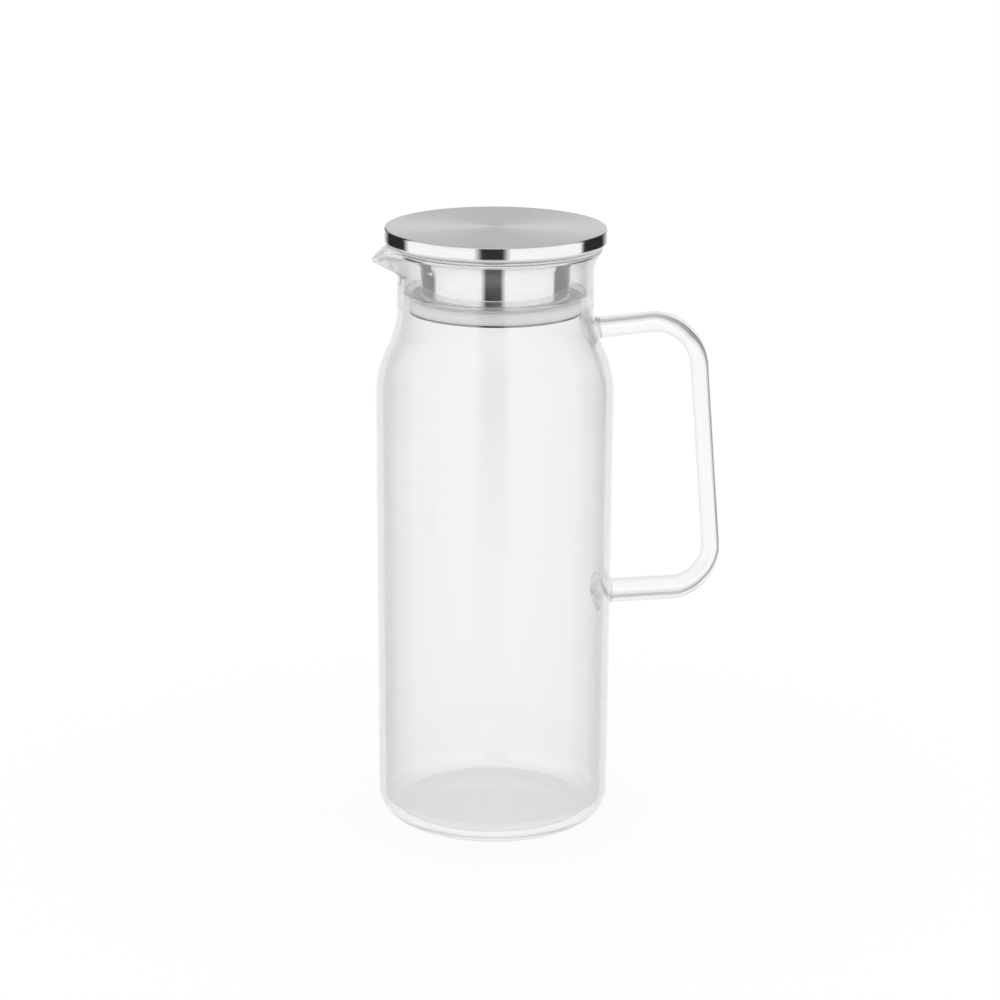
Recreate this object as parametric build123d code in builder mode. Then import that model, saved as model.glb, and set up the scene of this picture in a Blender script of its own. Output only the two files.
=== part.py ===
from build123d import *
from math import asin, atan2, cos, degrees, sin, sqrt
import os

# Glass pitcher with a lift-off steel lid, in millimetres.
# The origin is the centre of the foot on the table, +Z is up, the handle is on +X and the spout on -X.

# Glass body: foot, wall, shoulder, neck and flared rim
foot_radius = 52.3
foot_corner_radius = 12.0
foot_ring_radius = 34.0
foot_push_up = 1.0
base_thickness = 4.5
floor_corner_radius = 8.0
wall = 2.8
shoulder_radius = 53.1
shoulder_start = 197.0
shoulder_rise = 41.2
neck_radius = 43.55
neck_length = 13.8
flare_rise = 10.3
flare_widening = 3.4

# Pouring spout pulled out of the rim: oval sections at its root, throat and tip
spout_root_depth = 8.0
spout_root_drop = 0.6
spout_root_size = (27.0, 24.0)
spout_throat_reach = 1.5
spout_throat_drop = 1.0
spout_throat_size = (9.6, 7.2)
spout_tip_reach = 8.7
spout_tip_drop = 4.0
spout_tip_size = (3.2, 2.8)
spout_tip_round = 2.3
spout_wall = 2.0

# Handle: one solid glass rod, drawn thinner along its bar than in its two arms
upper_rod_diameter = 9.6
bar_diameter = 8.3
lower_rod_diameter = 11.2
upper_weld_drop = 13.8
upper_arm_rise = 2.7
upper_corner_reach = 93.7
upper_bend_radius = 23.0
lower_weld_height = 101.3
lower_arm_drop = 1.0
lower_corner_reach = 104.5
lower_bend_radius = 18.4
weld_flare = 3.6

# Lid: drawn steel cap, underplate, stopper collar and base
sheet = 0.8
lid_overhang = 1.9
lid_thickness = 7.4
lid_top_edge_radius = 0.9
lid_lower_edge_radius = 2.4
hem_width = 3.4
spigot_depth = 6.4
stopper_depth = 29.6
base_upstand = 4.0

# Silicone seal: a band round the collar with an upward-opening lip
seal_reach = 7.5
seal_band_width = 5.1
seal_floor_height = 4.2
seal_band_height = 5.2
seal_lip_height = 3.1
seal_lip_thickness = 1.1

# Clearances
lid_seat_clearance = 0.4
seal_clearance = 0.3
underplate_clearance = 0.3

# Shoulder: two equal arcs turn in to the neck; flare: one arc turns out to the rim
shoulder_width = shoulder_radius - neck_radius
shoulder_bend = (shoulder_rise**2 + shoulder_width**2) / (4 * shoulder_width)
shoulder_angle = degrees(2 * atan2(shoulder_width, shoulder_rise))
flare_start = shoulder_start + shoulder_rise + neck_length
flare_bend = (flare_rise**2 + flare_widening**2) / (2 * flare_widening)
flare_angle = degrees(2 * atan2(flare_widening, flare_rise))
os.makedirs("parts", exist_ok=True)
up = (0, 1)
wall_plane = Plane.YZ


def draw_outer_wall():
    """Outside of the glass, from the foot ring up to the rim; returns the flare's arc."""
    corner = JernArc((foot_radius - foot_corner_radius, 0), (1, 0), foot_corner_radius, 90)
    side = Line(corner @ 1, (shoulder_radius, shoulder_start))
    turn_in = JernArc(side @ 1, up, shoulder_bend, shoulder_angle)
    turn_up = JernArc(turn_in @ 1, turn_in % 1, shoulder_bend, -shoulder_angle)
    neck = Line(turn_up @ 1, (neck_radius, flare_start))
    return JernArc(neck @ 1, up, flare_bend, -flare_angle)


def draw_inner_wall():
    """Inside of the glass, from the centre of the floor up to the rim, one wall inside the outside."""
    floor_edge = (foot_radius - wall - floor_corner_radius, base_thickness)
    floor = Line((0, base_thickness), floor_edge)
    corner = JernArc(floor @ 1, (1, 0), floor_corner_radius, 90)
    side = Line(corner @ 1, (shoulder_radius - wall, shoulder_start))
    turn_in = JernArc(side @ 1, up, shoulder_bend - wall, shoulder_angle)
    turn_up = JernArc(turn_in @ 1, turn_in % 1, shoulder_bend + wall, -shoulder_angle)
    neck = Line(turn_up @ 1, (neck_radius - wall, flare_start))
    return JernArc(neck @ 1, up, flare_bend + wall, -flare_angle)


# Outside form of the vessel as a full solid, which also shapes the handle's weld feet
with BuildPart() as outer_form:
    with BuildSketch(wall_plane):
        with BuildLine():
            outer_flare = draw_outer_wall()
            rim_edge = outer_flare @ 1
            Polyline(rim_edge, (0, rim_edge.Y), (0, 0), (foot_radius - foot_corner_radius, 0))
        make_face()
    revolve(axis=Axis.Z)

# Rounded rim: a half circle across the end of the wall
rim_centre = rim_edge + (outer_flare % 1).rotate(Axis.Z, 90) * (wall / 2)
rim_top = rim_centre.Y + wall / 2
rim_radius = rim_centre.X + wall / 2
bore_radius = neck_radius - wall

# Spout: an oval trumpet that dips from inside the neck to the tip
spout_root = bore_radius - spout_root_depth
spout_throat = rim_radius + spout_throat_reach
spout_tip = rim_radius + spout_tip_reach
spout_sections = (
    (spout_root, spout_root_drop, spout_root_size),
    (spout_throat, spout_throat_drop, spout_throat_size),
    (spout_tip, spout_tip_drop, spout_tip_size),
)
cut_top = rim_top + max(spout_root_size)


def spout_plane(reach, drop):
    """Upright plane across the spout, facing out."""
    return Plane(origin=(-reach, 0, rim_top - drop), x_dir=(0, -1, 0), z_dir=(-1, 0, 0))


# Outside of the spout, cut off along a crest that leaves the rim level and dips to the tip
with BuildPart() as spout:
    for reach, drop, (half_width, depth) in spout_sections:
        with BuildSketch(spout_plane(reach, drop)):
            Ellipse(half_width, depth)
    loft()
    fillet(spout.edges().sort_by(Axis.X)[0], spout_tip_round)
    with BuildSketch(Plane.XZ):
        with BuildLine():
            crest_start = (-rim_centre.X, rim_top - spout_root_drop)
            crest_end = (-spout_tip, rim_top - spout_tip_drop)
            cut_end = -spout_tip - spout_tip_reach
            TangentArc(crest_start, crest_end, tangent=(-1, 0))
            Polyline(
                crest_end,
                (cut_end, crest_end[1]),
                (cut_end, cut_top),
                (0, cut_top),
                (0, crest_start[1]),
                crest_start,
            )
        make_face()
    extrude(amount=neck_radius, both=True, mode=Mode.SUBTRACT)

# Channel inside the spout, one spout wall smaller
with BuildPart() as spout_channel:
    for reach, drop, (half_width, depth) in spout_sections:
        with BuildSketch(spout_plane(reach - spout_wall, drop)):
            Ellipse(half_width - spout_wall, depth - spout_wall)
    loft()

# Glass body: the blown wall and base, opened at the spout
with BuildPart() as glass_body:
    with BuildSketch(wall_plane):
        with BuildLine():
            draw_outer_wall()
            JernArc(rim_edge, outer_flare % 1, wall / 2, 180)
            draw_inner_wall()
            Line((0, base_thickness), (0, foot_push_up))
            TangentArc((0, foot_push_up), (foot_ring_radius, 0), tangent=(1, 0))
            Line((foot_ring_radius, 0), (foot_radius - foot_corner_radius, 0))
        make_face()
    revolve(axis=Axis.Z)
    add(spout.part)
    with BuildSketch(wall_plane):
        with BuildLine():
            inner_flare = draw_inner_wall()
            inner_edge = inner_flare @ 1
            Polyline(inner_edge, (inner_edge.X, cut_top), (0, cut_top), (0, base_thickness))
        make_face()
    revolve(axis=Axis.Z, mode=Mode.SUBTRACT)
    add(spout_channel.part, mode=Mode.SUBTRACT)

glass_body.part.label = "glass_body"
export_step(glass_body.part, "parts/glass_body.step")

# Handle welds: the upper one on the shoulder's second arc, the lower one on the side
upper_wall_tilt = asin(upper_weld_drop / shoulder_bend)
side_slope = (shoulder_radius - foot_radius) / (shoulder_start - foot_corner_radius)
upper_weld = Vector(
    neck_radius + shoulder_bend * (1 - cos(upper_wall_tilt)),
    0,
    shoulder_start + shoulder_rise - upper_weld_drop,
)
lower_weld = Vector(
    foot_radius + side_slope * (lower_weld_height - foot_corner_radius),
    0,
    lower_weld_height,
)
upper_corner = Vector(upper_corner_reach, 0, upper_weld.Z + upper_arm_rise)
lower_corner = Vector(lower_corner_reach, 0, lower_weld.Z - lower_arm_drop)
upper_along = (upper_corner - upper_weld).normalized()
lower_along = (lower_corner - lower_weld).normalized()
upper_outward = Vector(cos(upper_wall_tilt), 0, sin(upper_wall_tilt))
lower_outward = Vector(1, 0, -side_slope).normalized()

# Rod: a line bent through two corners, from the top of one weld foot to the top of the other
with BuildLine() as rod_line:
    FilletPolyline(
        upper_weld + upper_along * weld_flare,
        upper_corner,
        lower_corner,
        lower_weld + lower_along * weld_flare,
        radius=(upper_bend_radius, lower_bend_radius),
    )
upper_arm, upper_bend, bar, lower_bend, lower_arm = rod_line.edges().sort_by(Axis.Z, reverse=True)

# Lengths of the rod in turn, each with the diameter at its two ends; the bends take up the difference
rod_lengths = (
    (upper_arm, upper_rod_diameter, upper_rod_diameter),
    (upper_bend, upper_rod_diameter, bar_diameter),
    (bar, bar_diameter, bar_diameter),
    (lower_bend, bar_diameter, lower_rod_diameter),
    (lower_arm, lower_rod_diameter, lower_rod_diameter),
)

# Weld feet: circles from inside the wall, round a quarter of melted glass, out to the rod
flare_middle = weld_flare * (1 - sqrt(0.5))
weld_feet = (
    (upper_weld, upper_outward, upper_along, upper_rod_diameter / 2),
    (lower_weld, lower_outward, lower_along, lower_rod_diameter / 2),
)


def across(point, direction):
    """Plane across the handle at a point, facing along it."""
    return Plane(origin=point, x_dir=(0, 1, 0), z_dir=direction)


with BuildPart() as glass_handle:
    for weld, outward, along, rod_radius in weld_feet:
        for distance, flare, direction in (
            (-wall, weld_flare, outward),
            (0, weld_flare, outward),
            (flare_middle, flare_middle, outward + along),
            (weld_flare, 0, along),
        ):
            with BuildSketch(across(weld + direction.normalized() * distance, direction)):
                Circle(rod_radius + flare)
        loft()
    for path, start_diameter, end_diameter in rod_lengths:
        for place, diameter in ((0, start_diameter), (1, end_diameter)):
            with BuildSketch(across(path @ place, path % place)):
                Circle(diameter / 2)
        sweep(path=path, multisection=True)
    add(outer_form.part, mode=Mode.SUBTRACT)

glass_handle.part.label = "glass_handle"
export_step(glass_handle.part, "parts/glass_handle.step")

# Lid heights and radii, set by the rim below the cap and the neck bore around the seal
lid_underside = rim_top + lid_seat_clearance
lid_top = lid_underside + lid_thickness
lid_radius = rim_radius + lid_overhang
hem_top = lid_underside + sheet
hem_outer_radius = lid_radius - lid_lower_edge_radius
hem_inner_radius = hem_outer_radius - hem_width
plate_top = hem_top + sheet
plate_radius = hem_outer_radius - underplate_clearance
lip_radius = bore_radius - seal_clearance
collar_radius = lip_radius - seal_reach
collar_bore_radius = collar_radius - sheet
spigot_radius = collar_radius + sheet
spigot_bottom = lid_underside - spigot_depth
stopper_bottom = lid_underside - stopper_depth
flange_top = stopper_bottom + sheet
band_radius = collar_radius + seal_band_width

# Cap: drawn steel disc with a turned-down side and a hem turned in under its edge
with BuildPart() as lid_cap:
    with BuildSketch(wall_plane):
        with BuildLine():
            FilletPolyline(
                (0, lid_top),
                (lid_radius, lid_top),
                (lid_radius, lid_underside),
                (hem_inner_radius, lid_underside),
                radius=(lid_top_edge_radius, lid_lower_edge_radius),
            )
            Line((hem_inner_radius, lid_underside), (hem_inner_radius, hem_top))
            FilletPolyline(
                (hem_inner_radius, hem_top),
                (lid_radius - sheet, hem_top),
                (lid_radius - sheet, lid_top - sheet),
                radius=lid_lower_edge_radius - sheet,
            )
            Polyline((lid_radius - sheet, lid_top - sheet), (0, lid_top - sheet), (0, lid_top))
        make_face()
    revolve(axis=Axis.Z)
lid_cap.part.label = "lid_cap"
export_step(lid_cap.part, "parts/lid_cap.step")

# Underplate: a ring that lies on the hem inside the cap, with a short spigot that grips the collar
with BuildPart() as lid_underplate:
    with BuildSketch(wall_plane):
        with BuildLine():
            Polyline(
                (collar_radius, plate_top),
                (plate_radius, plate_top),
                (plate_radius, hem_top),
                (spigot_radius, hem_top),
                (spigot_radius, spigot_bottom),
                (collar_radius, spigot_bottom),
                close=True,
            )
        make_face()
    revolve(axis=Axis.Z)
lid_underplate.part.label = "lid_underplate"
export_step(lid_underplate.part, "parts/lid_underplate.step")

# Collar: the steel tube of the stopper, held in the spigot and closed by the base
with BuildPart() as stopper_collar:
    with BuildSketch(Plane.XY.offset(flange_top)):
        Circle(collar_radius)
        Circle(collar_bore_radius, mode=Mode.SUBTRACT)
    extrude(amount=plate_top - flange_top)
stopper_collar.part.label = "stopper_collar"
export_step(stopper_collar.part, "parts/stopper_collar.step")

# Stopper base: a disc whose flange keeps the seal on, with an upstand pressed into the collar
with BuildPart() as stopper_base:
    with BuildSketch(Plane.XY.offset(stopper_bottom)):
        Circle(band_radius)
    extrude(amount=sheet)
    with BuildSketch(Plane.XY.offset(flange_top)):
        Circle(collar_bore_radius)
        Circle(collar_bore_radius - sheet, mode=Mode.SUBTRACT)
    extrude(amount=base_upstand)
stopper_base.part.label = "stopper_base"
export_step(stopper_base.part, "parts/stopper_base.step")

# Seal: a silicone band round the collar that stands on the flange, its lip flaring up to the neck
with BuildPart() as seal_ring:
    with BuildSketch(wall_plane):
        seal_floor = flange_top + seal_floor_height
        band_top = flange_top + seal_band_height
        lip_top = band_top + seal_lip_height
        with BuildLine():
            Polyline(
                (collar_radius, flange_top),
                (band_radius, flange_top),
                (band_radius, band_top),
                (lip_radius, lip_top),
                (lip_radius - seal_lip_thickness, lip_top),
                (band_radius - seal_lip_thickness, seal_floor),
                (collar_radius, seal_floor),
                close=True,
            )
        make_face()
    revolve(axis=Axis.Z)
seal_ring.part.label = "seal_ring"
export_step(seal_ring.part, "parts/seal_ring.step")
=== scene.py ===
from math import acos, asin, atan2, cos, degrees, exp, hypot, pi, radians, sin, tan

import bpy
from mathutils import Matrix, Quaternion, Vector


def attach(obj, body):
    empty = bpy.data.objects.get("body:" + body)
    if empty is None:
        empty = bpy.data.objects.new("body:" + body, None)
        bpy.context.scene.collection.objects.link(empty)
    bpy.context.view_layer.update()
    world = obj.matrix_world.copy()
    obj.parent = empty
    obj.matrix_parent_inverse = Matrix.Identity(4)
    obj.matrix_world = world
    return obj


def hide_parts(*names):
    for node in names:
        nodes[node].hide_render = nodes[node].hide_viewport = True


# Glass pitcher with a lift-off steel lid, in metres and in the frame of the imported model
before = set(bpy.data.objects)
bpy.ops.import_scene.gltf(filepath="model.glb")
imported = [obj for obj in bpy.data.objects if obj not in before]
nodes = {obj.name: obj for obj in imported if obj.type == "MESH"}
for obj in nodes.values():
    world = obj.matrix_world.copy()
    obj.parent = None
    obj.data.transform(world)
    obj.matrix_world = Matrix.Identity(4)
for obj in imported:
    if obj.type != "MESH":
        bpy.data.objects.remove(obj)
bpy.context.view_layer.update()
MM = 0.001

# Glass body, as in the solid model
FOOT_RADIUS = 52.3 * MM
FOOT_CORNER_RADIUS = 12.0 * MM
FOOT_RING_RADIUS = 34.0 * MM
FOOT_PUSH_UP = 1.0 * MM
BASE_THICKNESS = 4.5 * MM
FLOOR_CORNER_RADIUS = 8.0 * MM
WALL = 2.8 * MM
SHOULDER_RADIUS = 53.1 * MM
SHOULDER_START = 197.0 * MM
SHOULDER_RISE = 41.2 * MM
NECK_RADIUS = 43.55 * MM
NECK_LENGTH = 13.8 * MM
FLARE_RISE = 10.3 * MM
FLARE_WIDENING = 3.4 * MM

# Spout: how far the rim is pulled out and down, and over what height and angles
SPOUT_REACH = 8.85 * MM
SPOUT_DROP = 3.6 * MM
SPOUT_HEIGHT = 14.5 * MM
SPOUT_TIP_ROUND = radians(2.2)
SPOUT_SPREAD = radians(7.8)
SPOUT_SPREAD_BELOW = radians(7.0)

# Handle rod, as in the solid model
UPPER_ROD_RADIUS = 4.8 * MM
BAR_RADIUS = 4.15 * MM
LOWER_ROD_RADIUS = 5.6 * MM
UPPER_WELD_DROP = 13.8 * MM
UPPER_ARM_RISE = 2.7 * MM
UPPER_CORNER_REACH = 93.7 * MM
UPPER_BEND_RADIUS = 23.0 * MM
LOWER_WELD_HEIGHT = 101.3 * MM
LOWER_ARM_DROP = 1.0 * MM
LOWER_CORNER_REACH = 104.5 * MM
LOWER_BEND_RADIUS = 18.4 * MM
WELD_FLARE = 3.6 * MM
WELD_SINK = 1.4 * MM
ROD_INSET = 0.02 * MM

# Mesh fineness
TURN_STEPS = 288
SPOUT_CROWDING = 0.5
FOOT_STEPS = 12
ROD_STEPS = 64
WELD_STEPS = 12
BAR_STEPS = 24
ARC_STEP = radians(3.0)
LINE_STEP = 4.0 * MM


def arc(start, heading, radius, turn):
    """Points after the start along an arc, to the left for a positive turn, and the heading at its end."""
    side = 1 if turn > 0 else -1
    centre = Vector((start[0] - side * radius * sin(heading), start[1] + side * radius * cos(heading)))
    steps = max(2, round(abs(turn) / ARC_STEP))
    points = []
    for step in range(1, steps + 1):
        angle = heading + turn * step / steps
        points.append(centre + Vector((sin(angle), -cos(angle))) * (side * radius))
    return points, heading + turn


def line(start, end):
    """Points after the start along a straight line."""
    start = Vector(start)
    end = Vector(end)
    steps = max(1, round((end - start).length / LINE_STEP))
    return [start.lerp(end, step / steps) for step in range(1, steps + 1)]


def new_object(name, vertices, faces):
    """Smooth mesh object linked to the scene."""
    mesh = bpy.data.meshes.new(name)
    mesh.from_pydata(vertices, [], faces)
    mesh.polygons.foreach_set("use_smooth", [True] * len(mesh.polygons))
    mesh.update()
    piece = bpy.data.objects.new(name, mesh)
    bpy.context.scene.collection.objects.link(piece)
    return piece


def keep_values(piece, name, kind, field, values):
    """Stores a value for each vertex as a named attribute that materials can read."""
    piece.data.attributes.new(name, kind, "POINT").data.foreach_set(field, values)


def ring_faces(rings, steps, first):
    """Quads between rings of vertices that follow each other from a first index."""
    faces = []
    for ring in range(rings - 1):
        here = first + ring * steps
        for step in range(steps):
            following = (step + 1) % steps
            faces.append((here + step, here + following, here + steps + following, here + steps + step))
    return faces


# Shoulder and flare, from the same arcs as the solid
shoulder_width = SHOULDER_RADIUS - NECK_RADIUS
shoulder_bend = (SHOULDER_RISE**2 + shoulder_width**2) / (4 * shoulder_width)
shoulder_turn = 2 * atan2(shoulder_width, SHOULDER_RISE)
flare_start = SHOULDER_START + SHOULDER_RISE + NECK_LENGTH
flare_bend = (FLARE_RISE**2 + FLARE_WIDENING**2) / (2 * FLARE_WIDENING)
flare_turn = 2 * atan2(FLARE_WIDENING, FLARE_RISE)


def wall_line(points, side_start, inset):
    """Extends a half section up the side, over the shoulder and the neck; gives the flare's last heading."""
    points += line(side_start, (SHOULDER_RADIUS - inset, SHOULDER_START))
    up = pi / 2
    turn_in, heading = arc(points[-1], up, shoulder_bend - inset, shoulder_turn)
    points += turn_in
    turn_up, _ = arc(points[-1], heading, shoulder_bend + inset, -shoulder_turn)
    points += turn_up
    points += line(points[-1], (NECK_RADIUS - inset, flare_start))
    flare, heading = arc(points[-1], up, flare_bend + inset, -flare_turn)
    points += flare
    return heading


def glass_section():
    """Half section of the vessel as (radius, height), from the foot's middle round to the floor's middle."""
    outer = []
    for step in range(FOOT_STEPS + 1):
        share = step / FOOT_STEPS
        outer.append(Vector((FOOT_RING_RADIUS * share, FOOT_PUSH_UP * (1 - share**2))))
    outer += line(outer[-1], (FOOT_RADIUS - FOOT_CORNER_RADIUS, 0))
    corner, _ = arc(outer[-1], 0, FOOT_CORNER_RADIUS, pi / 2)
    outer += corner
    heading = wall_line(outer, outer[-1], 0)
    rim, _ = arc(outer[-1], heading, WALL / 2, pi)

    inner = [Vector((0, BASE_THICKNESS))]
    inner += line(inner[-1], (FOOT_RADIUS - WALL - FLOOR_CORNER_RADIUS, BASE_THICKNESS))
    corner, _ = arc(inner[-1], 0, FLOOR_CORNER_RADIUS, pi / 2)
    inner += corner
    wall_line(inner, inner[-1], WALL)
    return outer + rim[:-1] + inner[::-1]


# Vessel: the half section turned about the axis, with the rim drawn out into the spout
section = glass_section()
rim_start = flare_start + FLARE_RISE
rim_top = max(point.y for point in section)


def spout_pull(angle, height):
    """How far the glass is drawn out and down at an angle from the spout's middle and a height."""
    rise = (height - (rim_top - SPOUT_HEIGHT)) / SPOUT_HEIGHT
    if rise <= 0:
        return 0, 0
    spread = SPOUT_SPREAD + SPOUT_SPREAD_BELOW * (1 - rise)
    share = exp(-(hypot(angle, SPOUT_TIP_ROUND) - SPOUT_TIP_ROUND) / spread)
    eased = rise**2 * (3 - 2 * rise)
    return SPOUT_REACH * share * eased, SPOUT_DROP * share**2 * eased


def turn_angle(step):
    """Angle round the axis of a numbered step; the steps crowd together at the spout, half a turn on."""
    share = 2 * step / TURN_STEPS - 1
    return pi + pi * (SPOUT_CROWDING * share + (1 - SPOUT_CROWDING) * share**3)


def make_glass_body():
    """Closed mesh of the blown vessel, with its rounded rim marked for the material."""
    rings = section[1:-1]
    vertices = [(0, 0, section[0].y)]
    on_rim = [0.0]
    for radius, height in rings:
        for step in range(TURN_STEPS):
            angle = turn_angle(step)
            out, down = spout_pull(abs(angle - pi), height)
            vertices.append(((radius + out) * cos(angle), (radius + out) * sin(angle), height - down))
            on_rim.append(float(height > rim_start))
    vertices.append((0, 0, section[-1].y))
    on_rim.append(0.0)

    faces = ring_faces(len(rings), TURN_STEPS, 1)
    last = len(vertices) - 1
    top = last - TURN_STEPS
    for step in range(TURN_STEPS):
        following = (step + 1) % TURN_STEPS
        faces.append((0, 1 + following, 1 + step))
        faces.append((top + step, top + following, last))
    body = new_object("blown_glass_body", vertices, faces)
    keep_values(body, "rim", "FLOAT", "value", on_rim)
    return body


# Handle: rings along a rod that is bent through two corners and melted on at both ends
upper_tilt = asin(UPPER_WELD_DROP / shoulder_bend)
side_slope = (SHOULDER_RADIUS - FOOT_RADIUS) / (SHOULDER_START - FOOT_CORNER_RADIUS)
upper_weld = Vector((
    NECK_RADIUS + shoulder_bend * (1 - cos(upper_tilt)),
    SHOULDER_START + SHOULDER_RISE - UPPER_WELD_DROP,
))
lower_weld = Vector((
    FOOT_RADIUS + side_slope * (LOWER_WELD_HEIGHT - FOOT_CORNER_RADIUS),
    LOWER_WELD_HEIGHT,
))
upper_corner = Vector((UPPER_CORNER_REACH, upper_weld.y + UPPER_ARM_RISE))
lower_corner = Vector((LOWER_CORNER_REACH, lower_weld.y - LOWER_ARM_DROP))


def weld_foot(weld, outward, along, rod_radius, wall_bend):
    """Rings of a weld foot, from inside the wall out to the rod.

    Each ring is (place, direction, radius, bend of the wall, share that follows the wall).
    """
    rings = [(weld - outward * WELD_SINK, outward, rod_radius + WELD_FLARE, wall_bend, 1)]
    for step in range(WELD_STEPS + 1):
        angle = pi / 2 * step / WELD_STEPS
        out = WELD_FLARE * (1 - cos(angle))
        flare = WELD_FLARE * (1 - sin(angle))
        share = 1 - step / WELD_STEPS
        direction = (outward * share + along * (1 - share)).normalized()
        rings.append((weld + direction * out, direction, rod_radius + flare, wall_bend, share))
    return rings


def bend_rings(corner, before, after, bend_radius, start_radius, end_radius):
    """Rings round one bend of the rod, over which its radius changes."""
    turn = acos(max(-1, min(1, before.dot(after))))
    steps = max(4, round(turn / ARC_STEP))
    start = corner - before * (bend_radius * tan(turn / 2))
    inside = Vector((before.y, -before.x))
    rings = []
    for step in range(steps + 1):
        share = step / steps
        angle = turn * share
        rod_radius = start_radius + (end_radius - start_radius) * share
        place = start + before * (bend_radius * sin(angle)) + inside * (bend_radius * (1 - cos(angle)))
        direction = before * cos(angle) + inside * sin(angle)
        rings.append((place, direction, rod_radius, 0, 0))
    return rings


def rod_rings():
    """All rings of the handle, from the weld on the neck to the weld on the wall."""
    upper_along = (upper_corner - upper_weld).normalized()
    down_bar = (lower_corner - upper_corner).normalized()
    lower_along = (lower_corner - lower_weld).normalized()
    upper_outward = Vector((cos(upper_tilt), sin(upper_tilt)))
    lower_outward = Vector((1, -side_slope)).normalized()
    upper = bend_rings(upper_corner, upper_along, down_bar, UPPER_BEND_RADIUS, UPPER_ROD_RADIUS, BAR_RADIUS)
    lower = bend_rings(lower_corner, down_bar, -lower_along, LOWER_BEND_RADIUS, BAR_RADIUS, LOWER_ROD_RADIUS)
    bar_start = upper[-1][0]
    bar_end = lower[0][0]

    rings = weld_foot(upper_weld, upper_outward, upper_along, UPPER_ROD_RADIUS, shoulder_bend)
    rings += upper
    for step in range(1, BAR_STEPS):
        rings.append((bar_start.lerp(bar_end, step / BAR_STEPS), down_bar, BAR_RADIUS, 0, 0))
    rings += lower
    lower_foot = weld_foot(lower_weld, lower_outward, lower_along, LOWER_ROD_RADIUS, 0)
    for place, direction, radius, wall_bend, share in reversed(lower_foot):
        rings.append((place, -direction, radius, wall_bend, share))
    return rings


def ring_points(place, direction, radius, wall_bend, share):
    """Vertices of one ring; at a weld they follow the round wall and, on the shoulder, its hollow."""
    across = Vector((-direction.y, direction.x))
    toward_rod = 1 if direction.x > 0 else -1
    points = []
    for step in range(ROD_STEPS):
        angle = 2 * pi * step / ROD_STEPS
        sideways = (radius - ROD_INSET) * cos(angle)
        upward = (radius - ROD_INSET) * sin(angle)
        follow = -sideways**2 / (2 * place.x)
        if wall_bend:
            follow += upward**2 / (2 * wall_bend)
        point = place + across * upward + direction * (follow * share * toward_rod)
        points.append((point.x, sideways, point.y))
    return points


# Painted shade in dark streaks along the handle's two faces, for the dark surroundings seen through the rod:
# degrees that the rod has turned since it left the neck, the streak's place from the rod's middle at 0 to
# its outward edge at 1, its half width and its depth
SHADE_STREAKS = (
    (0, 0.75, 0.17, 0.8),
    (20, 0.58, 0.24, 0.9),
    (45, 0.4, 0.32, 0.97),
    (75, 0.62, 0.2, 0.97),
    (86, 0.7, 0.15, 0.98),
    (110, 0.43, 0.14, 0.97),
    (135, 0.21, 0.13, 0.95),
    (180, 0.26, 0.2, 0.72),
)


def shade_streak_at(direction):
    """Place, half width and depth of the painted shade streak where the rod has a direction."""
    turned = -degrees(atan2(direction.y, direction.x)) % 360
    # A rod that still rises counts as not turned yet
    turned = 0 if turned > 270 else min(turned, 180)
    for (start, *first), (end, *second) in zip(SHADE_STREAKS, SHADE_STREAKS[1:]):
        if turned <= end:
            share = (turned - start) / (end - start)
            return [low + (high - low) * share for low, high in zip(first, second)]


def make_glass_handle():
    """Closed mesh of the rod, with each vertex's place in the painted shade streak, place along the rod and
    depth kept.
    """
    rings = rod_rings()
    vertices = []
    rod_places = []
    length = 0
    last_place = rings[0][0]
    for place, direction, radius, wall_bend, share in rings:
        vertices += ring_points(place, direction, radius, wall_bend, share)
        length += (place - last_place).length
        last_place = place
        shade_place, shade_width, shade_depth = shade_streak_at(direction)
        for step in range(ROD_STEPS):
            outward = sin(2 * pi * step / ROD_STEPS)
            rod_places += [(outward - shade_place) / shade_width, length, shade_depth]
    faces = ring_faces(len(rings), ROD_STEPS, 0)
    faces.append(tuple(range(ROD_STEPS))[::-1])
    faces.append(tuple(range(len(vertices) - ROD_STEPS, len(vertices))))
    handle = new_object("glass_rod_handle", vertices, faces)
    keep_values(handle, "rod_place", "FLOAT_VECTOR", "vector", rod_places)
    return handle


# Materials: helpers that add nodes and give back an output
def new_material(name):
    """Material with its node tree and main shader."""
    material = bpy.data.materials.new(name)
    material.use_nodes = True
    tree = material.node_tree
    return material, tree, tree.nodes["Principled BSDF"]


def node(tree, kind, **settings):
    """New node with its properties set."""
    made = tree.nodes.new(kind)
    for name, value in settings.items():
        setattr(made, name, value)
    return made


def feed(tree, value, socket):
    """Sets a socket to a number, or links it to another socket."""
    if isinstance(value, (int, float)):
        socket.default_value = value
    else:
        tree.links.new(value, socket)


def math_node(tree, operation, first, second=None):
    """Result of an operation on sockets or numbers."""
    made = node(tree, "ShaderNodeMath", operation=operation)
    feed(tree, first, made.inputs[0])
    if second is not None:
        feed(tree, second, made.inputs[1])
    return made.outputs[0]


def product(tree, first, *others):
    """Product of sockets or numbers."""
    for other in others:
        first = math_node(tree, "MULTIPLY", first, other)
    return first


def mix(tree, share, first, second):
    """Blend from a first to a second value, each a socket or a number."""
    made = node(tree, "ShaderNodeMix", data_type="FLOAT")
    feed(tree, share, made.inputs[0])
    feed(tree, first, made.inputs[2])
    feed(tree, second, made.inputs[3])
    return made.outputs[0]


def map_range(tree, value, from_min, from_max, to_min, to_max):
    """Linear map of a socket's value, held at both ends."""
    made = node(tree, "ShaderNodeMapRange")
    tree.links.new(value, made.inputs["Value"])
    made.inputs["From Min"].default_value = from_min
    made.inputs["From Max"].default_value = from_max
    made.inputs["To Min"].default_value = to_min
    made.inputs["To Max"].default_value = to_max
    return made.outputs[0]


def separate(tree, vector):
    """The three outputs for the parts of a vector socket."""
    made = node(tree, "ShaderNodeSeparateXYZ")
    tree.links.new(vector, made.inputs[0])
    return made.outputs


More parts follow.
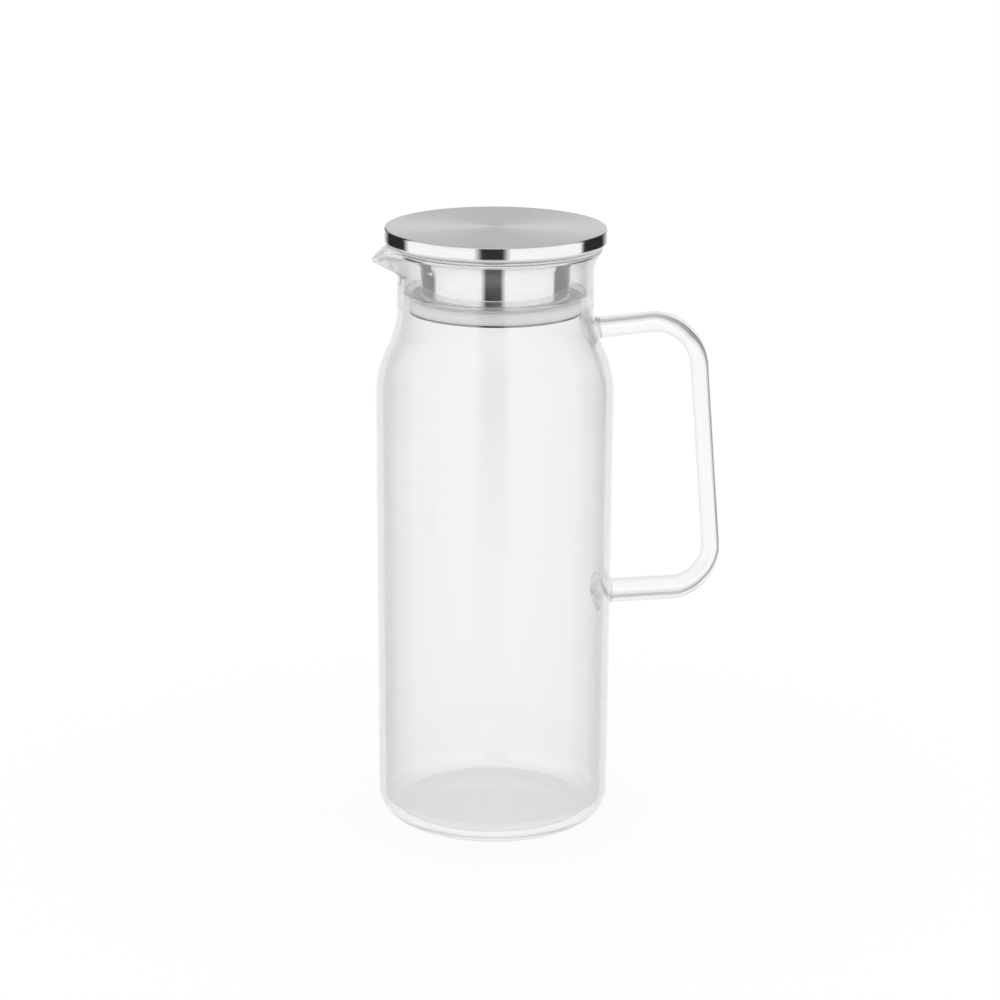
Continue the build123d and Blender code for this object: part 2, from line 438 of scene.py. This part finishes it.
def combine(tree, *parts):
    """Vector made of up to three value sockets."""
    made = node(tree, "ShaderNodeCombineXYZ")
    for part, socket in zip(parts, made.inputs):
        tree.links.new(part, socket)
    return made.outputs[0]


def noise(tree, vector, scale, detail):
    """Noise value at a vector socket."""
    made = node(tree, "ShaderNodeTexNoise")
    made.inputs["Scale"].default_value = scale
    made.inputs["Detail"].default_value = detail
    tree.links.new(vector, made.inputs["Vector"])
    return made.outputs[0]


def colour_ramp(tree, value, stops):
    """Colour at a value, from stops of (place, colour), the first at 0."""
    ramp = node(tree, "ShaderNodeValToRGB")
    tree.links.new(value, ramp.inputs[0])
    elements = ramp.color_ramp.elements
    elements.remove(elements[1])
    for place, colour in stops:
        element = elements[0] if place == 0 else elements.new(place)
        element.color = (*colour, 1)
    return ramp.outputs[0]


def bump(tree, shader, height, distance, strength):
    """Feeds a height into the shader's normal."""
    made = node(tree, "ShaderNodeBump")
    made.inputs["Distance"].default_value = distance
    made.inputs["Strength"].default_value = strength
    tree.links.new(height, made.inputs["Height"])
    tree.links.new(made.outputs[0], shader.inputs["Normal"])


# Glass
GLASS_IOR = 1.47
GLASS_SHADOW = 0.1
WAVE_STRETCH = (1.0, 1.0, 0.25)
WAVE_SCALE = 60.0
WAVE_DEPTH = 0.2 * MM
WAVE_STRENGTH = 0.25
# Share of the light that glass keeps, from face-on at 0 to edge-on at 1, in the wall and in the thicker rod;
# the grey edge-on is painted shade
WALL_TINTS_AND_EDGE_SHADE = (
    (0.0, (0.945, 0.952, 0.958)),
    (0.3, (0.91, 0.917, 0.923)),
    (0.5, (0.8, 0.806, 0.812)),
    (0.65, (0.61, 0.615, 0.62)),
    (0.8, (0.53, 0.535, 0.54)),
    (1.0, (0.68, 0.68, 0.68)),
)
ROD_TINTS_AND_EDGE_SHADE = (
    (0.0, (0.95, 0.955, 0.96)),
    (0.25, (0.92, 0.925, 0.93)),
    (0.4, (0.8, 0.805, 0.81)),
    (0.56, (0.72, 0.725, 0.73)),
    (0.8, (0.72, 0.725, 0.73)),
    (1.0, (0.8, 0.8, 0.8)),
)
# Depth of the painted shade line along the rounded rim
RIM_SHADE_DEPTH = 0.3
# Depth of the painted shade across the rod's streak, from its pale inward side to its outward edge, in half
# widths
SHADE_STREAK_REACH = (-2.2, 1.0)
SHADE_STREAK_DEPTHS = ((0.0, 0.0), (0.1, 0.35), (0.4, 0.5), (0.48, 0.95), (0.85, 1.0), (1.0, 0.0))
# Fine lines within the painted shade streak: how close they lie across and along it
LINES_ACROSS = 1.5
LINES_ALONG = 20.0


def darkened(tree, tint_and_shade, depth):
    """Tint made darker by painted shade of a depth from 0 to 1."""
    scaled = node(tree, "ShaderNodeVectorMath", operation="SCALE")
    tree.links.new(tint_and_shade, scaled.inputs[0])
    tree.links.new(math_node(tree, "SUBTRACT", 1.0, depth), scaled.inputs["Scale"])
    return scaled.outputs[0]


def add_painted_rim_shade(tree, tint_and_shade):
    """Paints a line of shade into the tint along the rounded rim, where the rim turns light aside."""
    rim = node(tree, "ShaderNodeAttribute", attribute_name="rim").outputs["Fac"]
    return darkened(tree, tint_and_shade, product(tree, rim, RIM_SHADE_DEPTH))


def add_painted_rod_shade(tree, tint_and_shade):
    """Paints shade into the rod's tint in streaks that run along it, for the dark surroundings seen through
    the rod.
    """
    rod_place = node(tree, "ShaderNodeAttribute", attribute_name="rod_place").outputs["Vector"]
    across, along, deepest = separate(tree, rod_place)
    depths = [(place, (depth, depth, depth)) for place, depth in SHADE_STREAK_DEPTHS]
    profile = colour_ramp(tree, map_range(tree, across, *SHADE_STREAK_REACH, 0.0, 1.0), depths)
    drawn = combine(tree, product(tree, across, LINES_ACROSS), product(tree, along, LINES_ALONG))
    lines = map_range(tree, noise(tree, drawn, 1.0, 2.0), 0.35, 0.55, 0.75, 1.0)
    # The painted shade is kept only where light enters the rod, as the far side's streaks would be magnified
    leaving = node(tree, "ShaderNodeNewGeometry").outputs["Backfacing"]
    entering = math_node(tree, "SUBTRACT", 1.0, leaving)
    return darkened(tree, tint_and_shade, product(tree, profile, deepest, lines, entering))


def glass_material(name, tints_and_edge_shade, add_painted_shade):
    """Clear borosilicate: faintly blue, with painted shade that greys it edge-on and further painted shade
    passed in, and with the faint waves of drawn glass.
    """
    material, tree, shader = new_material(name)
    shader.inputs["Roughness"].default_value = 0.0
    shader.inputs["IOR"].default_value = GLASS_IOR
    shader.inputs["Transmission Weight"].default_value = 1.0
    # Painted shade: the tint darkens edge-on, in place of the dark edges that refraction of the surroundings
    # shows
    edge_on = node(tree, "ShaderNodeLayerWeight")
    edge_on.inputs["Blend"].default_value = 0.5
    tint_and_shade = colour_ramp(tree, edge_on.outputs["Facing"], tints_and_edge_shade)
    tree.links.new(add_painted_shade(tree, tint_and_shade), shader.inputs["Base Color"])

    stretched = node(tree, "ShaderNodeMapping")
    stretched.inputs["Scale"].default_value = WAVE_STRETCH
    tree.links.new(node(tree, "ShaderNodeTexCoord").outputs["Object"], stretched.inputs["Vector"])
    waves = noise(tree, stretched.outputs[0], WAVE_SCALE, 1.0)
    bump(tree, shader, waves, WAVE_DEPTH, WAVE_STRENGTH)

    # Glass casts only a faint shadow, and light trapped between its faces leaves after two reflections
    ray = node(tree, "ShaderNodeLightPath").outputs
    passes = product(tree, ray["Is Shadow Ray"], 1 - GLASS_SHADOW)
    leaves = math_node(tree, "GREATER_THAN", ray["Glossy Depth"], 1.5)
    clear = math_node(tree, "MAXIMUM", passes, leaves)
    tree.links.new(math_node(tree, "SUBTRACT", 1.0, clear), shader.inputs["Alpha"])
    return material


# Steel: how close the brush lines lie in a millimetre, and how often they change along their run
BRUSH_LINES = 4.0
BRUSH_RUN = 0.6
BRUSH_DEPTH = 0.02 * MM
BRUSH_STRENGTH = 0.35


def brushed_steel_material(name, side_tone, level_shade_tone, underside_shade_tone, side_roughness, top_roughness):
    """Stainless sheet: concentric brush lines on level faces, lengthways polish on upright ones."""
    material, tree, shader = new_material(name)
    shader.inputs["Metallic"].default_value = 1.0
    shader.inputs["Anisotropic"].default_value = 0.7
    shader.inputs["Anisotropic Rotation"].default_value = 0.25
    tangent = node(tree, "ShaderNodeTangent", direction_type="RADIAL", axis="Z")
    tree.links.new(tangent.outputs[0], shader.inputs["Tangent"])

    x, y, z = separate(tree, node(tree, "ShaderNodeTexCoord").outputs["Object"])
    radius = math_node(tree, "SQRT", math_node(tree, "ADD", product(tree, x, x), product(tree, y, y)))
    angle = math_node(tree, "ARCTAN2", y, x)
    brushing = combine(
        tree,
        product(tree, radius, 1 / MM),
        product(tree, angle, BRUSH_RUN),
        product(tree, z, 1 / MM),
    )
    lines = noise(tree, brushing, BRUSH_LINES, 3.0)
    upward = separate(tree, node(tree, "ShaderNodeNewGeometry").outputs["Normal"])[2]
    level = map_range(tree, math_node(tree, "ABSOLUTE", upward), 0.75, 0.95, 0.0, 1.0)
    bump(tree, shader, product(tree, lines, level), BRUSH_DEPTH, BRUSH_STRENGTH)

    smooth_side = map_range(tree, lines, 0.3, 0.7, side_roughness * 0.8, side_roughness * 1.2)
    rough_top = map_range(tree, lines, 0.3, 0.7, top_roughness * 0.85, top_roughness * 1.15)
    tree.links.new(mix(tree, level, smooth_side, rough_top), shader.inputs["Roughness"])

    # Painted shade: faces that turn downward are darker, for the dim reflections under the lid's edges
    streaks = map_range(tree, lines, 0.2, 0.8, 0.93, 1.07)
    downward_shade = map_range(tree, upward, -0.6, -0.05, underside_shade_tone, 1.0)
    # Painted shade: level faces take a tone of their own, on the cap far darker than its side, for the dim
    # overhead seen in them
    tone = product(tree, mix(tree, level, side_tone, level_shade_tone), streaks, downward_shade)
    steel = node(tree, "ShaderNodeCombineColor")
    for channel in steel.inputs:
        tree.links.new(tone, channel)
    tree.links.new(steel.outputs[0], shader.inputs["Base Color"])
    return material


# Silicone, with the heights over which it thins out from the band into the lip
LIP_HEIGHTS = (241.3 * MM, 242.3 * MM)
SEAL_IOR = 1.41
SEAL_SHADOW = 0.15
SEAL_SCATTER = 2.0 * MM
SKIN_SCALE = 1500.0
SKIN_DEPTH = 0.02 * MM
SKIN_STRENGTH = 0.2


def silicone_material():
    """Milky translucent silicone with a soft satin skin, clearer in the thin lip."""
    material, tree, shader = new_material("clear_silicone")
    shader.inputs["Base Color"].default_value = (0.99, 0.992, 0.992, 1)
    shader.inputs["IOR"].default_value = SEAL_IOR
    shader.inputs["Subsurface Weight"].default_value = 1.0
    shader.inputs["Subsurface Radius"].default_value = (1, 1, 1)
    shader.inputs["Subsurface Scale"].default_value = SEAL_SCATTER
    place = node(tree, "ShaderNodeTexCoord").outputs["Object"]
    height = separate(tree, place)[2]
    clearness = map_range(tree, height, *LIP_HEIGHTS, 0.12, 0.9)
    tree.links.new(clearness, shader.inputs["Transmission Weight"])
    cloud = map_range(tree, noise(tree, place, 90.0, 3.0), 0.3, 0.7, 0.28, 0.4)
    sheen = map_range(tree, height, *LIP_HEIGHTS, 1.0, 0.5)
    tree.links.new(product(tree, cloud, sheen), shader.inputs["Roughness"])
    bump(tree, shader, noise(tree, place, SKIN_SCALE, 2.0), SKIN_DEPTH, SKIN_STRENGTH)
    # Silicone lets most of the light through, into the channel behind its lip
    shadow_ray = node(tree, "ShaderNodeLightPath").outputs["Is Shadow Ray"]
    passes = product(tree, shadow_ray, 1 - SEAL_SHADOW)
    tree.links.new(math_node(tree, "SUBTRACT", 1.0, passes), shader.inputs["Alpha"])
    return material


# Glass pieces in place of their solids
for piece, cad_node, material_name, tints_and_edge_shade, add_painted_shade in (
    (make_glass_body(), "glass_body", "clear_glass", WALL_TINTS_AND_EDGE_SHADE, add_painted_rim_shade),
    (make_glass_handle(), "glass_handle", "clear_rod_glass", ROD_TINTS_AND_EDGE_SHADE, add_painted_rod_shade),
):
    piece.data.materials.append(glass_material(material_name, tints_and_edge_shade, add_painted_shade))
    piece.visible_diffuse = False
    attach(piece, "vessel")
    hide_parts(cad_node)

# Lid pieces, dressed as they are
cap_steel = brushed_steel_material(
    "brushed_steel", side_tone=0.9, level_shade_tone=0.48, underside_shade_tone=0.5, side_roughness=0.1, top_roughness=0.32
)
stopper_steel = brushed_steel_material(
    "polished_steel", side_tone=0.97, level_shade_tone=0.85, underside_shade_tone=0.15, side_roughness=0.05, top_roughness=0.16
)
# The stopper base's upright sides and downward faces are dark
base_steel = brushed_steel_material(
    "dark_sided_steel", side_tone=0.3, level_shade_tone=0.85, underside_shade_tone=0.3, side_roughness=0.2, top_roughness=0.16
)
for name, material in (
    ("lid_cap", cap_steel),
    ("lid_underplate", stopper_steel),
    ("stopper_collar", stopper_steel),
    ("stopper_base", base_steel),
    ("seal_ring", silicone_material()),
):
    nodes[name].data.materials.clear()
    nodes[name].data.materials.append(material)

# The underplate's pressed edges are rounded
rounding = nodes["lid_underplate"].modifiers.new("pressed_edges", "BEVEL")
rounding.width = 0.5 * MM
rounding.segments = 3
rounding.limit_method = "ANGLE"
rounding.angle_limit = radians(50)

# Camera, worked out from the photograph's perspective
CAMERA_DISTANCE = 1.4085
CAMERA_HEIGHT = 0.5406
CAMERA_AZIMUTH = radians(-15.0)
AIM_HEIGHT = 0.1476
LENS_MM = 117.1
SENSOR_MM = 36.0
CAMERA_SHIFT_X = 0.00565
CAMERA_ROLL = radians(0.346)

camera_way = Vector((sin(CAMERA_AZIMUTH), -cos(CAMERA_AZIMUTH)))
camera_data = bpy.data.cameras.new("camera")
camera = bpy.data.objects.new("camera", camera_data)
bpy.context.scene.collection.objects.link(camera)
camera_data.lens = LENS_MM
camera_data.sensor_width = SENSOR_MM
camera_data.shift_x = CAMERA_SHIFT_X
camera.location = (camera_way.x * CAMERA_DISTANCE, camera_way.y * CAMERA_DISTANCE, CAMERA_HEIGHT)
look = Vector((0, 0, AIM_HEIGHT)) - camera.location
camera.rotation_mode = "QUATERNION"
camera.rotation_quaternion = look.to_track_quat("-Z", "Y") @ Quaternion((0, 0, 1), CAMERA_ROLL)
bpy.context.scene.camera = camera
bpy.context.scene.view_settings.view_transform = "Standard"

# Light paths long enough for the thick rim and base
paths = bpy.context.scene.cycles
paths.max_bounces = 32
paths.transmission_bounces = 32
paths.glossy_bounces = 16
paths.transparent_max_bounces = 16

# Floor: a wide pale sheet that stays white to the eye and keeps the pitcher's shadow
FLOOR_SIZE = 12.0
FLOOR_GAP = 0.2 * MM
FLOOR_GLOW = 0.19

bpy.ops.mesh.primitive_plane_add(size=FLOOR_SIZE, location=(0, 0, -FLOOR_GAP))
floor = bpy.context.object
floor.name = "studio_floor"
floor_material, tree, shader = new_material("pale_floor")
shader.inputs["Base Color"].default_value = (0.82, 0.82, 0.82, 1)
shader.inputs["Roughness"].default_value = 0.9
shader.inputs["Specular IOR Level"].default_value = 0.0
shader.inputs["Emission Color"].default_value = (1, 1, 1, 1)
ray = node(tree, "ShaderNodeLightPath").outputs
seen = math_node(tree, "MAXIMUM", ray["Is Camera Ray"], ray["Is Transmission Ray"])
seen = math_node(tree, "MAXIMUM", seen, ray["Is Glossy Ray"])
tree.links.new(product(tree, seen, FLOOR_GLOW), shader.inputs["Emission Strength"])
floor.data.materials.append(floor_material)

# World: a white studio, whose ceiling is darker in reflections; the dark starts and is full at two slopes
CEILING_LEVEL = 0.65
CEILING_SLOPES = (0.35, 0.75)

world = bpy.data.worlds.new("studio")
bpy.context.scene.world = world
world.use_nodes = True
tree = world.node_tree
background = tree.nodes["Background"]
background.inputs["Color"].default_value = (1, 1, 1, 1)
slope = separate(tree, node(tree, "ShaderNodeTexCoord").outputs["Generated"])[2]
ceiling = map_range(tree, slope, *CEILING_SLOPES, 1.0, CEILING_LEVEL)
ray = node(tree, "ShaderNodeLightPath").outputs
mirrored = math_node(tree, "SUBTRACT", ray["Is Glossy Ray"], ray["Is Transmission Ray"])
tree.links.new(mix(tree, mirrored, 1.0, ceiling), background.inputs["Strength"])

# Dark screens seen only in reflections, one behind the camera and one each side of the backdrop: name,
# bearings from the camera's side where it starts and ends, fade at each end, width of its apron on the
# floor, and whether clear glass mirrors it too
SCREENS = (
    ("screen_behind_camera", -22, 15, 8, 8, 0.65, True),
    ("screen_left", -168, -98.7, 26, 8, 0.3, False),
    ("screen_right", 94.4, 165, 6, 26, 0.3, False),
)
SCREEN_LEVEL = 0.015
SCREEN_DISTANCE = 0.9
SCREEN_HEIGHT = 1.0
SCREEN_COLUMNS = 40
SCREEN_ROWS = 8
# Share of a side screen's dark that shows in steel behind the glass wall
THROUGH_WALL = 0.8


def screen_material(name, in_clear_glass):
    """Dark cloth that only mirrored rays see; unless wanted, mirroring by clear glass doesn't count."""
    material, tree, shader = new_material(name)
    shader.inputs["Base Color"].default_value = (SCREEN_LEVEL, SCREEN_LEVEL, SCREEN_LEVEL, 1)
    shader.inputs["Roughness"].default_value = 1.0
    ray = node(tree, "ShaderNodeLightPath").outputs
    mirrored = math_node(tree, "COMPARE", ray["Glossy Depth"], 1.0)
    if not in_clear_glass:
        off_steel = math_node(tree, "SUBTRACT", ray["Is Glossy Ray"], ray["Is Singular Ray"])
        twice_through = math_node(tree, "GREATER_THAN", ray["Transmission Depth"], 3.5)
        through_wall = product(tree, mirrored, twice_through, THROUGH_WALL)
        mirrored = math_node(tree, "MAXIMUM", off_steel, through_wall)
    cover = node(tree, "ShaderNodeAttribute", attribute_name="cover").outputs["Fac"]
    tree.links.new(product(tree, mirrored, cover), shader.inputs["Alpha"])
    return material


def screen_line(apron_width):
    """Points (distance, height, cover) down a screen's upright and in along its apron, which thins out."""
    points = []
    for row in range(SCREEN_ROWS):
        points.append((SCREEN_DISTANCE, SCREEN_HEIGHT * (1 - row / SCREEN_ROWS), 1))
    for row in range(SCREEN_ROWS + 1):
        share = row / SCREEN_ROWS
        points.append((SCREEN_DISTANCE - apron_width * share, 0, 1 - share))
    return points


camera_bearing = atan2(camera_way.y, camera_way.x)
for name, start, end, start_fade, end_fade, apron_width, in_clear_glass in SCREENS:
    profile = screen_line(apron_width)
    vertices = []
    covers = []
    for column in range(SCREEN_COLUMNS + 1):
        bearing = start + (end - start) * column / SCREEN_COLUMNS
        edge_cover = min(1, (bearing - start) / start_fade, (end - bearing) / end_fade)
        around = camera_bearing + radians(bearing)
        for distance, height, cover in profile:
            vertices.append((distance * cos(around), distance * sin(around), height))
            covers.append(cover * edge_cover)
    rows = len(profile)
    faces = []
    for column in range(SCREEN_COLUMNS):
        for row in range(rows - 1):
            here = column * rows + row
            faces.append((here, here + 1, here + rows + 1, here + rows))
    screen = new_object(name, vertices, faces)
    keep_values(screen, "cover", "FLOAT", "value", covers)
    screen.data.materials.append(screen_material(name, in_clear_glass))
    screen.visible_camera = False
    screen.visible_diffuse = False
    screen.visible_shadow = False
